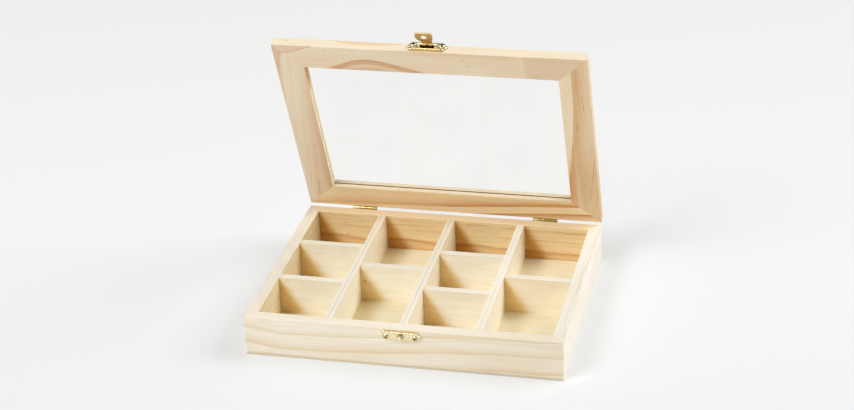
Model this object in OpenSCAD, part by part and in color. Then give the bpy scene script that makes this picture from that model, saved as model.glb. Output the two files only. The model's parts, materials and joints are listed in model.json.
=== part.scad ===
// Glazed pine box with ten compartments, two butt hinges and a hasp clasp.
// X runs left to right, Y front to back, Z up. The origin is on the underside, at the middle of the base.
// The lid and the clasp's flap are drawn in the closed position and then swung open about their pins.

/* [Base] */
// Outer width of the box, left to right
box_w = 300; // [270:1:330]
// Outer depth of the box, front to back
box_d = 227; // [205:1:250]
// Height of the base, underside to wall tops
base_h = 40.5; // [34:0.5:60]
// Thickness of the four walls
wall_t = 11.5; // [9.5:0.5:14]
// Thickness of the plywood bottom
bottom_t = 3.5; // [2.5:0.5:5]
// How far the bottom's edges stay inside the walls' outer faces
bottom_inset = 0.3; // [0:0.1:1]
// Radius of the sanded edges of the pine
edge_r = 0.6; // [0.3:0.1:1.2]

/* [Dividers] */
// Thickness of the three long dividers
long_divider_t = 7.2; // [5:0.1:9]
// Thickness of the six cross dividers
cross_divider_t = 7.2; // [5:0.1:9]
// How far the dividers' tops stay below the wall tops
divider_drop = 0; // [0:0.1:3]
// How far column 1's cross dividers sit behind their even spacing
column_1_shift = 1.3; // [-3:0.1:3]
// How far column 2's cross divider sits behind the middle
column_2_shift = 0.6; // [-3:0.1:3]
// How far column 3's cross dividers sit behind their even spacing
column_3_shift = 0.2; // [-3:0.1:3]
// How far column 4's cross divider sits behind the middle
column_4_shift = -1; // [-3:0.1:3]

/* [Lid] */
// Thickness of the lid's members
lid_t = 10; // [9:0.5:14]
// Width of the lid's members
member_w = 28.4; // [22:0.2:36]
// Gap between the closed lid and the wall tops
lid_gap = 0.5; // [0.2:0.1:1.2]
// Angle at which the lid stands open
lid_open = 68; // [0:1:110]
// Thickness of the glass
glass_t = 2; // [1.5:0.1:3]
// Depth of the groove that holds the glass
groove_depth = 6; // [4:0.5:9]
// Free space between the glass and each side of its groove
glass_clearance = 0.1; // [0.05:0.05:0.3]
// Free space between the glass's edge and the bottom of the groove
glass_edge_clearance = 0.8; // [0.3:0.1:1.5]

/* [Hinges] */
// Length of each hinge
hinge_l = 25.4; // [20:0.2:38]
// Distance from the side of the box to the middle of the hinge
hinge_inset = 57; // [30:1:90]
// Outer diameter of the knuckles
knuckle_d = 3.8; // [3.2:0.1:5]
// Thickness of the leaves' sheet
leaf_t = 1; // [0.7:0.1:1.2]
// Height of each leaf below or above the barrel's axis
leaf_h = 9.2; // [8:0.1:9.2]
// Diameter of the hinge pins
hinge_pin_d = 1.7; // [1.2:0.1:2]
// Radial running clearance of the hinge pins and the flap's pin
pin_clearance = 0.05; // [0.02:0.01:0.1]
// Gap between neighbouring knuckles, and between a leaf and the other leaf's knuckles
knuckle_gap = 0.25; // [0.1:0.05:0.6]
// Distance between the two screws of a leaf
hinge_screw_pitch = 16; // [12:0.5:18]
// Distance from the barrel's axis to the hinge screws
hinge_screw_reach = 5.9; // [5:0.1:6.5]
// Diameter of the hinge screws' shanks
hinge_screw_d = 1.7; // [1.4:0.1:2]
// Diameter of the hinge screws' heads
hinge_screw_head_d = 3.4; // [3:0.1:3.8]
// Length of the hinge screws
hinge_screw_l = 8; // [6:0.5:9]

/* [Clasp plates] */
// Thickness of the two plates' sheet
plate_t = 1; // [0.8:0.1:1.4]
// Radius of the plates' corners round their screws
corner_lobe_r = 3.5; // [3:0.1:4]
// Length of each plate's raised rail
rail_l = 26.4; // [24:0.2:30]
// Width of the rail
rail_w = 2.2; // [1.8:0.1:2.6]
// How far the rail stands out from the wood
rail_h = 3; // [2.4:0.1:3]
// Distance from the wall tops down to the catch plate
catch_drop = 1.4; // [0.8:0.1:2.4]
// Distance from the lid's underside up to the clasp plate
clasp_rise = 1.3; // [0.8:0.1:2]
// Distance between the two screws of a plate
plate_screw_pitch = 27.2; // [26:0.2:30]
// Distance from the catch plate's rail edge to its screws
catch_screw_reach = 6.5; // [6:0.1:7.2]
// Distance from the clasp plate's rail edge to its screws
clasp_screw_reach = 7.2; // [6.6:0.1:7.4]
// Diameter of the plate screws' shanks
plate_screw_d = 2; // [1.6:0.1:2.4]
// Diameter of the plate screws' heads
plate_screw_head_d = 5.6; // [4.6:0.1:6]
// Length of the plate screws
plate_screw_l = 9; // [7:0.5:10]

/* [Knob] */
// Distance from the catch plate's rail edge to the knob
knob_reach = 6; // [5.6:0.1:6.6]
// Diameter of the knob's foot
knob_foot_d = 6; // [5:0.1:6.4]
// Diameter of the knob's head
knob_head_d = 4.2; // [3.4:0.1:4.6]
// How far the knob stands out from the wood
knob_h = 5.4; // [4.8:0.1:6.5]

/* [Flap] */
// Angle at which the flap stands open
flap_open = 62; // [0:1:160]
// Diameter of the flap's pin
flap_pin_d = 1.4; // [1:0.1:1.6]
// Length of the flap's pin
flap_pin_l = 18.8; // [18.2:0.1:19.4]
// Outer diameter of the flap's two knuckles
flap_knuckle_d = 3; // [2.8:0.1:3.2]
// Length of each of the flap's knuckles
flap_knuckle_l = 3.6; // [2.5:0.1:4]
// Gap between the flap's two knuckles
flap_knuckle_space = 2.6; // [1.5:0.1:3.5]
// Thickness of the flap's sheet
flap_t = 1; // [0.7:0.1:1.1]
// Distance from the clasp plate's rail edge to the flap's pin
flap_pin_reach = 6.6; // [6.2:0.1:6.8]
// Distance from the wood to the middle of the flap's pin
flap_pin_rise = 2.7; // [2.6:0.05:2.9]
// Widest part of the flap
flap_w = 16.6; // [14:0.2:17]
// Length of the flap from its pin to its tip
flap_l = 21.2; // [20.6:0.1:23.4]
// Width of the flap's hole
flap_hole_w = 5.6; // [5.2:0.1:5.8]
// How much longer than wide the hole is
flap_hole_stretch = 0.8; // [0.4:0.1:1.4]
// Angle of the tip's outward curl
flap_curl = 38; // [20:1:50]

/* [Hidden] */

$fn = 48;

pine = [0.93, 0.82, 0.64];
ply = [0.95, 0.86, 0.68];
lid_pine = [0.88, 0.74, 0.54];
brass = [0.83, 0.69, 0.35];
glass = [0.85, 0.93, 0.92, 0.35];

// How far a cut goes past the face that it opens
cut = 0.5;

// Box: inside faces, and the columns and rows between the dividers
half_w = box_w / 2;
half_d = box_d / 2;
inner_w = box_w - 2 * wall_t;
inner_d = box_d - 2 * wall_t;
wall_h = base_h - bottom_t;
divider_h = wall_h - divider_drop;
column_pitch = (inner_w + long_divider_t) / 4;
column_w = column_pitch - long_divider_t;
third_pitch = (inner_d + cross_divider_t) / 3;

// Lid: closed underside, and the groove in the middle of its members
lid_z = base_h + lid_gap;
groove_w = glass_t + 2 * glass_clearance;
opening_w = box_w - 2 * member_w;
opening_d = box_d - 2 * member_w;
glass_reach = groove_depth - glass_edge_clearance;

// Hinge axis, midway between the closed lid and the base, with the knuckles against the back faces
hinge_y = half_d + knuckle_d / 2;
hinge_z = base_h + lid_gap / 2;
knuckle_bore_d = hinge_pin_d + 2 * pin_clearance;
knuckle_count = 4;
knuckle_pitch = hinge_l / knuckle_count;
hinge_x = half_w - hinge_inset;

// Screws of the hinges and plates, with the lid closed
base_screw_z = hinge_z - hinge_screw_reach;
lid_screw_z = hinge_z + hinge_screw_reach;
catch_z = base_h - catch_drop;
clasp_z = lid_z + clasp_rise;
catch_screw_z = catch_z - catch_screw_reach;
clasp_screw_z = clasp_z + clasp_screw_reach;
// Hair's clearance between a screw's shank and its hole, and how far the hole goes past the shank
shank_clearance = 0.03;
pilot_overrun = 0.5;

// Plates: lobes beside the rail, each a place along and away from the rail's edge, and a radius
side_lobe = [rail_l / 2 + 2, 1.8];
side_lobe_r = 1.8;
tip_lobe = [rail_l / 2 + 4.7, 4.9];
tip_lobe_r = 1.8;
neck_lobe = [rail_l / 2 + 2, 4.3];
neck_lobe_r = 2.4;
bead_margin = 0.3;

// Knob
knob_z = catch_z - knob_reach;
knob_tail_d = 2;
knob_foot_h = 1.2;
knob_neck_d = knob_head_d - 0.8;

// Flap: its pin's axis with the lid closed, its two ears, and the recess behind its knuckles
flap_pin_y = -half_d - flap_pin_rise;
flap_pin_z = clasp_z + flap_pin_reach;
flap_bore_d = flap_pin_d + 2 * pin_clearance;
flap_hole_reach = flap_pin_z - knob_z;
flap_root_w = 2 * flap_knuckle_l + flap_knuckle_space;
ear_l = 2.6;
ear_d = 3.6;
pin_stub = 0.2;
ear_x = (flap_pin_l - ear_l) / 2 - pin_stub;
recess_w = 2 * ear_x - ear_l;
recess_low = rail_w + 0.3;
recess_high = flap_pin_reach + flap_knuckle_d / 2 + 0.5;
recess_depth = 0.6;
// Flap's curl: it starts a little above the hole and reaches its full angle at the tip
curl_start = flap_hole_reach - 3.8;
curl_r = (flap_l - curl_start) / sin(flap_curl) - flap_t / 2;
// Flap's outline: corner radius, length of its straight root, and length of its widest part
flap_corner_r = 3;
flap_root_l = 2.5;
flap_wide_l = 2;

// Swings what is drawn in the closed position to where the photograph shows it

module on_lid() {
    translate([0, hinge_y, hinge_z])
        rotate([-lid_open, 0, 0])
            translate([0, -hinge_y, -hinge_z])
                children();
}

module on_flap() {
    on_lid()
        translate([0, flap_pin_y, flap_pin_z])
            rotate([-flap_open, 0, 0])
                children();
}

// Flat section with its four corners rounded, its lower left corner at the origin
module rounded_section(width, height, radius) {
    translate([radius, 0])
        square([width - 2 * radius, height]);
    translate([0, radius])
        square([width, height - 2 * radius]);
    for (x = [radius, width - radius], y = [radius, height - radius])
        translate([x, y])
            circle(r = radius);
}

// Strip of wood along X, its outer long face on y = 0 and its length centred on x = 0
module strip(length, depth, height) {
    translate([-length / 2, 0, 0])
        rotate([90, 0, 90])
            linear_extrude(length)
                rounded_section(depth, height, edge_r);
}

// Same strip with both ends cut at 45 degrees, shorter on its inner side
module mitred_strip(length, depth, height) {
    intersection() {
        strip(length, depth, height);
        translate([0, 0, -cut])
            linear_extrude(height + 2 * cut)
                polygon([
                    [-length / 2, 0], [length / 2, 0],
                    [length / 2 - depth, depth], [-length / 2 + depth, depth]
                ]);
    }
}

// Pilot holes in the wood, along Y from a face at y = 0 into the wood at +Y
module pilot(diameter, length) {
    rotate([-90, 0, 0])
        translate([0, 0, -cut])
            cylinder(d = diameter + 2 * shank_clearance, h = length + cut + pilot_overrun);
}

module hinge_screw_places(z) {
    for (side = [-1, 1], end = [-1, 1])
        translate([side * hinge_x + end * hinge_screw_pitch / 2, half_d, z])
            children();
}

module plate_screw_places(z) {
    for (end = [-1, 1])
        translate([end * plate_screw_pitch / 2, -half_d, z])
            children();
}

// Walls and bottom

module front_wall() {
    color(pine)
        difference() {
            translate([0, -half_d, bottom_t])
                mitred_strip(box_w, wall_t, wall_h);
            plate_screw_places(catch_screw_z)
                pilot(plate_screw_d, plate_screw_l);
        }
}

module back_wall() {
    color(pine)
        difference() {
            rotate([0, 0, 180])
                translate([0, -half_d, bottom_t])
                    mitred_strip(box_w, wall_t, wall_h);
            hinge_screw_places(base_screw_z)
                rotate([0, 0, 180])
                    pilot(hinge_screw_d, hinge_screw_l);
        }
}

module side_wall(turn) {
    color(pine)
        rotate([0, 0, turn])
            translate([0, -half_w, bottom_t])
                mitred_strip(box_d, wall_t, wall_h);
}

module left_wall() {
    side_wall(-90);
}

module right_wall() {
    side_wall(90);
}

module bottom_panel() {
    width = box_w - 2 * bottom_inset;
    depth = box_d - 2 * bottom_inset;
    color(ply)
        translate([-width / 2, -depth / 2, 0])
            cube([width, depth, bottom_t]);
}

// Dividers

module long_divider(column) {
    color(ply)
        translate([-inner_w / 2 + column * column_pitch - long_divider_t, -inner_d / 2, bottom_t])
            cube([long_divider_t, inner_d, divider_h]);
}

// column counts from 0, y is the divider's middle
module cross_divider(column, y) {
    color(ply)
        translate([-inner_w / 2 + column * column_pitch, y - cross_divider_t / 2, bottom_t])
            cube([column_w, cross_divider_t, divider_h]);
}

module long_divider_left() {
    long_divider(1);
}

module long_divider_middle() {
    long_divider(2);
}

module long_divider_right() {
    long_divider(3);
}

module cross_divider_1_front() {
    cross_divider(0, column_1_shift - third_pitch / 2);
}

module cross_divider_1_rear() {
    cross_divider(0, column_1_shift + third_pitch / 2);
}

module cross_divider_2() {
    cross_divider(1, column_2_shift);
}

module cross_divider_3_front() {
    cross_divider(2, column_3_shift - third_pitch / 2);
}

module cross_divider_3_rear() {
    cross_divider(2, column_3_shift + third_pitch / 2);
}

module cross_divider_4() {
    cross_divider(3, column_4_shift);
}

// Lid

// Flat member with mitred ends and the groove along its inner edge
module lid_member(length) {
    difference() {
        mitred_strip(length, member_w, lid_t);
        translate([-length / 2, member_w - groove_depth, (lid_t - groove_w) / 2])
            cube([length, groove_depth + cut, groove_w]);
    }
}

module lid_front_rail() {
    color(lid_pine)
        on_lid()
            difference() {
                translate([0, -half_d, lid_z])
                    lid_member(box_w);
                plate_screw_places(clasp_screw_z)
                    pilot(plate_screw_d, plate_screw_l);
            }
}

module lid_back_rail() {
    color(lid_pine)
        on_lid()
            difference() {
                rotate([0, 0, 180])
                    translate([0, -half_d, lid_z])
                        lid_member(box_w);
                hinge_screw_places(lid_screw_z)
                    rotate([0, 0, 180])
                        pilot(hinge_screw_d, hinge_screw_l);
            }
}

module lid_stile(turn) {
    color(lid_pine)
        on_lid()
            rotate([0, 0, turn])
                translate([0, -half_w, lid_z])
                    lid_member(box_d);
}

module lid_left_stile() {
    lid_stile(-90);
}

module lid_right_stile() {
    lid_stile(90);
}

module glass_pane() {
    width = opening_w + 2 * glass_reach;
    depth = opening_d + 2 * glass_reach;
    color(glass)
        on_lid()
            translate([-width / 2, -depth / 2, lid_z + (lid_t - glass_t) / 2])
                cube([width, depth, glass_t]);
}

// Hinges. A leaf is drawn for the base; the lid's leaf is its mirror image with the other knuckles.

module knuckle(index, outer_d) {
    translate([-hinge_l / 2 + index * knuckle_pitch + knuckle_gap / 2, 0, 0])
        rotate([0, 90, 0])
            cylinder(d = outer_d, h = knuckle_pitch - knuckle_gap);
}

// Leaf with its barrel's axis on the origin, its plate on the wood at y = -knuckle_d / 2, hanging down.
// first is 0 or 1: the leaf has every second knuckle from there.
module leaf(first) {
    back_y = -knuckle_d / 2;
    difference() {
        union() {
            translate([-hinge_l / 2, back_y, -leaf_h])
                cube([hinge_l, leaf_t, leaf_h - knuckle_d / 2 - knuckle_gap]);
            for (index = [first:2:knuckle_count - 1]) {
                knuckle(index, knuckle_d);
                translate([-hinge_l / 2 + index * knuckle_pitch + knuckle_gap / 2, back_y, -leaf_h])
                    cube([knuckle_pitch - knuckle_gap, leaf_t, leaf_h]);
            }
        }
        for (index = [first:2:knuckle_count - 1])
            translate([-cut, 0, 0])
                knuckle_bore();
        for (end = [-1, 1])
            translate([end * hinge_screw_pitch / 2, back_y, -hinge_screw_reach])
                rotate([-90, 0, 0])
                    countersink();
    }
}

module knuckle_bore() {
    translate([-hinge_l / 2, 0, 0])
        rotate([0, 90, 0])
            cylinder(d = knuckle_bore_d, h = hinge_l + 2 * cut);
}

// Screw hole through a leaf that lies on z = 0, widening to the head's size at its outer face
module countersink() {
    shank_r = hinge_screw_d / 2 + shank_clearance;
    head_r = hinge_screw_head_d / 2 + shank_clearance;
    translate([0, 0, -cut])
        cylinder(r = shank_r, h = leaf_t + 2 * cut);
    translate([0, 0, leaf_t - (head_r - shank_r)])
        cylinder(r1 = shank_r, r2 = head_r, h = head_r - shank_r);
    translate([0, 0, leaf_t])
        cylinder(r = head_r, h = cut);
}

module base_leaf(side) {
    color(brass)
        translate([side * hinge_x, hinge_y, hinge_z])
            leaf(0);
}

module lid_leaf(side) {
    color(brass)
        on_lid()
            translate([side * hinge_x, hinge_y, hinge_z])
                mirror([0, 0, 1])
                    leaf(1);
}

module hinge_pin(side) {
    color(brass)
        translate([side * hinge_x - hinge_l / 2, hinge_y, hinge_z])
            rotate([0, 90, 0])
                cylinder(d = hinge_pin_d, h = hinge_l);
}

// Countersunk screw with its shank along -Z and its seat's outer edge on z = 0
module hinge_screw() {
    cone_h = (hinge_screw_head_d - hinge_screw_d) / 2;
    point_h = hinge_screw_d;
    difference() {
        rotate_extrude()
            polygon([
                [0, 0], [hinge_screw_head_d / 2, 0], [hinge_screw_d / 2, -cone_h],
                [hinge_screw_d / 2, point_h - hinge_screw_l], [0, -hinge_screw_l]
            ]);
        cross_recess(hinge_screw_head_d * 0.55, 0.45);
    }
}

// Cross-shaped driver recess, its mouth on z = 0
module cross_recess(width, depth) {
    arm = width * 0.26;
    for (turn = [0, 90])
        rotate([0, 0, turn])
            translate([-width / 2, -arm / 2, -depth])
                cube([width, arm, depth + cut]);
}

module hinge_left_base_leaf() {
    base_leaf(-1);
}

module hinge_right_base_leaf() {
    base_leaf(1);
}

module hinge_left_lid_leaf() {
    lid_leaf(-1);
}

module hinge_right_lid_leaf() {
    lid_leaf(1);
}

module hinge_left_pin() {
    hinge_pin(-1);
}

module hinge_right_pin() {
    hinge_pin(1);
}

module hinge_screw_set(z) {
    color(brass)
        hinge_screw_places(z)
            translate([0, leaf_t, 0])
                rotate([-90, 0, 0])
                    hinge_screw();
}

module hinge_base_screws() {
    hinge_screw_set(base_screw_z);
}

module hinge_lid_screws() {
    on_lid()
        hinge_screw_set(lid_screw_z);
}

// Clasp plates. A plate is drawn flat: x along the rail, y away from the rail's edge, z out of the wood.

// Outline with rounded corners round the screws and a three-lobed end beside the rail
module plate_outline(screw_reach) {
    translate([-plate_screw_pitch / 2, 0])
        square([plate_screw_pitch, screw_reach + corner_lobe_r]);
    for (end = [-1, 1]) {
        translate([end * side_lobe.x, side_lobe.y])
            circle(r = side_lobe_r);
        translate([end * tip_lobe.x, tip_lobe.y])
            circle(r = tip_lobe_r);
        translate([end * neck_lobe.x, neck_lobe.y])
            circle(r = neck_lobe_r);
        translate([end * plate_screw_pitch / 2, screw_reach])
            circle(r = corner_lobe_r);
    }
}

// Round bead on a plate's lobe
module bead(x, y, r) {
    translate([x, y, plate_t])
        intersection() {
            translate([0, 0, -r / 2])
                sphere(r = r);
            translate([-r, -r, -plate_t / 2])
                cube([2 * r, 2 * r, 2 * r]);
        }
}

module rail() {
    rotate([90, 0, 90])
        translate([0, 0, -rail_l / 2])
            linear_extrude(rail_l) {
                square([rail_w, rail_h - rail_w / 2]);
                translate([rail_w / 2, rail_h - rail_w / 2])
                    circle(d = rail_w);
            }
}

module plate(screw_reach) {
    difference() {
        union() {
            linear_extrude(plate_t)
                plate_outline(screw_reach);
            rail();
            for (end = [-1, 1]) {
                bead(end * side_lobe.x, side_lobe.y, side_lobe_r - bead_margin);
                bead(end * tip_lobe.x, tip_lobe.y, tip_lobe_r - bead_margin);
            }
        }
        for (end = [-1, 1])
            translate([end * plate_screw_pitch / 2, screw_reach, -cut])
                cylinder(d = plate_screw_d + 2 * shank_clearance, h = plate_t + 2 * cut);
    }
}

// Turns a plate that is drawn flat onto the front face, its rail at the top
module hang_below(z) {
    translate([0, -half_d, z])
        rotate([-90, 0, 0])
            mirror([0, 0, 1])
                children();
}

// Turns a plate that is drawn flat onto the front face, its rail at the bottom
module stand_above(z) {
    translate([0, -half_d, z])
        rotate([90, 0, 0])
            children();
}

module catch_plate() {
    color(brass)
        hang_below(catch_z)
            difference() {
                plate(catch_screw_reach);
                translate([0, knob_reach, -cut])
                    cylinder(d = knob_tail_d + 2 * shank_clearance, h = plate_t + 2 * cut);
            }
}

// Knob with a flared foot and a round head, riveted through the plate by its tail
module catch_knob() {
    dome_r = knob_head_d / 2;
    color(brass)
        hang_below(catch_z)
            translate([0, knob_reach, 0]) {
                cylinder(d = knob_tail_d, h = plate_t);
                translate([0, 0, plate_t])
                    rotate_extrude()
                        polygon([
                            [0, 0], [knob_foot_d / 2, 0], [knob_foot_d / 2, knob_foot_h * 0.4],
                            [knob_neck_d / 2, knob_foot_h], [0, knob_foot_h]
                        ]);
                translate([0, 0, plate_t + knob_foot_h])
                    cylinder(d = knob_neck_d, h = knob_h - plate_t - knob_foot_h - dome_r);
                translate([0, 0, knob_h - dome_r])
                    sphere(r = dome_r);
            }
}

// Pan-head screw with its shank along -Z and its head standing on z = 0
module plate_screw() {
    head_h = plate_screw_head_d * 0.27;
    dome_r = (plate_screw_head_d * plate_screw_head_d / 4 + head_h * head_h) / (2 * head_h);
    difference() {
        union() {
            intersection() {
                translate([0, 0, head_h - dome_r])
                    sphere(r = dome_r);
                cylinder(d = plate_screw_head_d, h = head_h + cut);
            }
            rotate_extrude()
                polygon([
                    [0, 0], [plate_screw_d / 2, 0], [plate_screw_d / 2, plate_screw_d - plate_screw_l],
                    [0, -plate_screw_l]
                ]);
        }
        translate([0, 0, head_h])
            cross_recess(plate_screw_head_d * 0.72, 1.1);
    }
}

module catch_screws() {
    color(brass)
        plate_screw_places(catch_screw_z)
            rotate([90, 0, 0])
                translate([0, 0, plate_t])
                    plate_screw();
}

module clasp_screws() {
    color(brass)
        on_lid()
            plate_screw_places(clasp_screw_z)
                rotate([90, 0, 0])
                    translate([0, 0, plate_t])
                        plate_screw();
}

// Plate on the lid, with a recess behind the flap's knuckles and an ear at each end of the flap's pin
module clasp_plate() {
    color(brass)
        on_lid()
            stand_above(clasp_z)
                difference() {
                    union() {
                        plate(clasp_screw_reach);
                        for (end = [-1, 1])
                            translate([end * ear_x - ear_l / 2, flap_pin_reach, 0])
                                ear();
                    }
                    translate([-recess_w / 2, recess_low, plate_t - recess_depth])
                        cube([recess_w, recess_high - recess_low, recess_depth + cut]);
                    translate([-box_w / 2, flap_pin_reach, flap_pin_rise])
                        rotate([0, 90, 0])
                            cylinder(d = flap_bore_d, h = box_w);
                }
}

// Rounded lug along +X that carries the flap's pin
module ear() {
    rotate([90, 0, 90])
        linear_extrude(ear_l) {
            translate([0, flap_pin_rise])
                circle(d = ear_d);
            translate([-ear_d / 2, 0])
                square([ear_d, flap_pin_rise]);
        }
}

module clasp_pin() {
    color(brass)
        on_lid()
            translate([-flap_pin_l / 2, flap_pin_y, flap_pin_z])
                rotate([0, 90, 0])
                    cylinder(d = flap_pin_d, h = flap_pin_l);
}

// Flap. Drawn with its pin on the origin, hanging along -Z, its outer side towards -Y.

// Side section of the flap: x is the distance down from the pin, y the distance out from the pin
module flap_section() {
    inner_y = flap_knuckle_d / 2 - flap_t;
    circle(d = flap_knuckle_d);
    translate([0, inner_y])
        square([curl_start, flap_t]);
    intersection() {
        translate([curl_start, flap_knuckle_d / 2 + curl_r])
            difference() {
                circle(r = curl_r + flap_t);
                circle(r = curl_r);
            }
        polygon([
            [curl_start, flap_knuckle_d / 2 + curl_r],
            [curl_start, -cut],
            [curl_start + 3 * curl_r * tan(flap_curl), flap_knuckle_d / 2 - 2 * curl_r]
        ]);
    }
}

// Front outline of the flap: x across, y the distance down from the pin
module flap_outline() {
    root = flap_root_w / 2;
    half = flap_w / 2;
    corner_y = flap_l - flap_corner_r;
    translate([-root, -flap_knuckle_d])
        square([flap_root_w, flap_knuckle_d + flap_root_l]);
    polygon([
        [-root, flap_root_l], [root, flap_root_l], [half, corner_y - flap_wide_l], [half, corner_y],
        [-half, corner_y], [-half, corner_y - flap_wide_l]
    ]);
    translate([-half + flap_corner_r, corner_y - flap_wide_l])
        square([flap_w - 2 * flap_corner_r, flap_corner_r + flap_wide_l]);
    for (end = [-1, 1])
        translate([end * (half - flap_corner_r), corner_y])
            circle(r = flap_corner_r);
}

module hasp_flap() {
    color(brass)
        on_flap()
            difference() {
                intersection() {
                    translate([-flap_w, 0, 0])
                        rotate([0, 90, 0])
                            rotate([0, 0, 180])
                                mirror([1, 0, 0])
                                    linear_extrude(2 * flap_w)
                                        flap_section();
                    rotate([90, 0, 0])
                        mirror([0, 1, 0])
                            translate([0, 0, -2 * flap_knuckle_d])
                                linear_extrude(6 * flap_knuckle_d)
                                    flap_outline();
                }
                translate([-flap_w, 0, 0])
                    rotate([0, 90, 0])
                        cylinder(d = flap_bore_d, h = 2 * flap_w);
                translate([-flap_knuckle_space / 2, -flap_knuckle_d, -flap_root_l + cut])
                    cube([flap_knuckle_space, 2 * flap_knuckle_d, flap_root_l + flap_knuckle_d]);
                for (shift = [-1, 1])
                    translate([0, cut, -flap_hole_reach + shift * flap_hole_stretch / 2])
                        rotate([90, 0, 0])
                            cylinder(d = flap_hole_w, h = 2 * flap_knuckle_d);
            }
}

front_wall();
back_wall();
left_wall();
right_wall();
bottom_panel();
long_divider_left();
long_divider_middle();
long_divider_right();
cross_divider_1_front();
cross_divider_1_rear();
cross_divider_2();
cross_divider_3_front();
cross_divider_3_rear();
cross_divider_4();
hinge_left_base_leaf();
hinge_right_base_leaf();
hinge_left_pin();
hinge_right_pin();
hinge_base_screws();
catch_plate();
catch_knob();
catch_screws();
lid_front_rail();
lid_back_rail();
lid_left_stile();
lid_right_stile();
glass_pane();
hinge_left_lid_leaf();
hinge_right_lid_leaf();
hinge_lid_screws();
clasp_plate();
clasp_pin();
clasp_screws();
hasp_flap();
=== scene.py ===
"""Looks of the glazed pine box: its materials, floor, light and camera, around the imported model.

Lengths inside the materials are in millimetres, which suit grain better than metres.
"""
import json
import math

import bpy
from mathutils import Matrix, Vector


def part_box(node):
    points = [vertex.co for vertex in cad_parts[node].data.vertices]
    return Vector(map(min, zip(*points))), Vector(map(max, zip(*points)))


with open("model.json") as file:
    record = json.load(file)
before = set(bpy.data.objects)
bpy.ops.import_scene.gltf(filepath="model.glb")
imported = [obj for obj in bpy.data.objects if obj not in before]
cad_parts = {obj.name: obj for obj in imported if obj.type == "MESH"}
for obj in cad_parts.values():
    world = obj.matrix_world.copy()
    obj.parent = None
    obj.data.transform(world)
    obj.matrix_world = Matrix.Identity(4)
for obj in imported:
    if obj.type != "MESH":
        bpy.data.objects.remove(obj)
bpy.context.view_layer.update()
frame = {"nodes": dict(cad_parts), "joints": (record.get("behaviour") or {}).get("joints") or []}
NODES = frame["nodes"]

# Camera, fitted to the photograph, with its lens in mm on a sensor 36 mm wide
CAMERA_PLACE = Vector((0.407423, -1.588555, 0.954423))
CAMERA_AZIMUTH = math.radians(14.3264)
CAMERA_ELEVATION = math.radians(27.2475)
CAMERA_ROLL = math.radians(-2.7798)
CAMERA_LENS = 82.509

# How far the lid stands open at rest, and its hinge's place
LID_OPEN = math.radians(68)
LID_HINGE = Vector(next(j["pos_m"] for j in frame["joints"] if j["name"] == "lid_hinge"))

# Places on the closed box in mm, in the frame of the part
SIDE_FACE = 150
FRONT_FACE = -113.5
BACK_FACE = 113.5
BACK_INNER_FACE = 102
WALL_TOP = 40.5
PANEL_TOP = 3.5
HINGE_AXIS = 40.75
LID_UNDERSIDE = 41
GLASS_MIDDLE = 46
STILE_INNER_EDGE = 121.6
RAIL_INNER_EDGE = 85.1
# Half the width inside the walls, and the distance from one column of compartments to the next
INNER_HALF_W = 138.5
COLUMN_PITCH = 71.05


# Arithmetic on values that change over a surface

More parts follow.
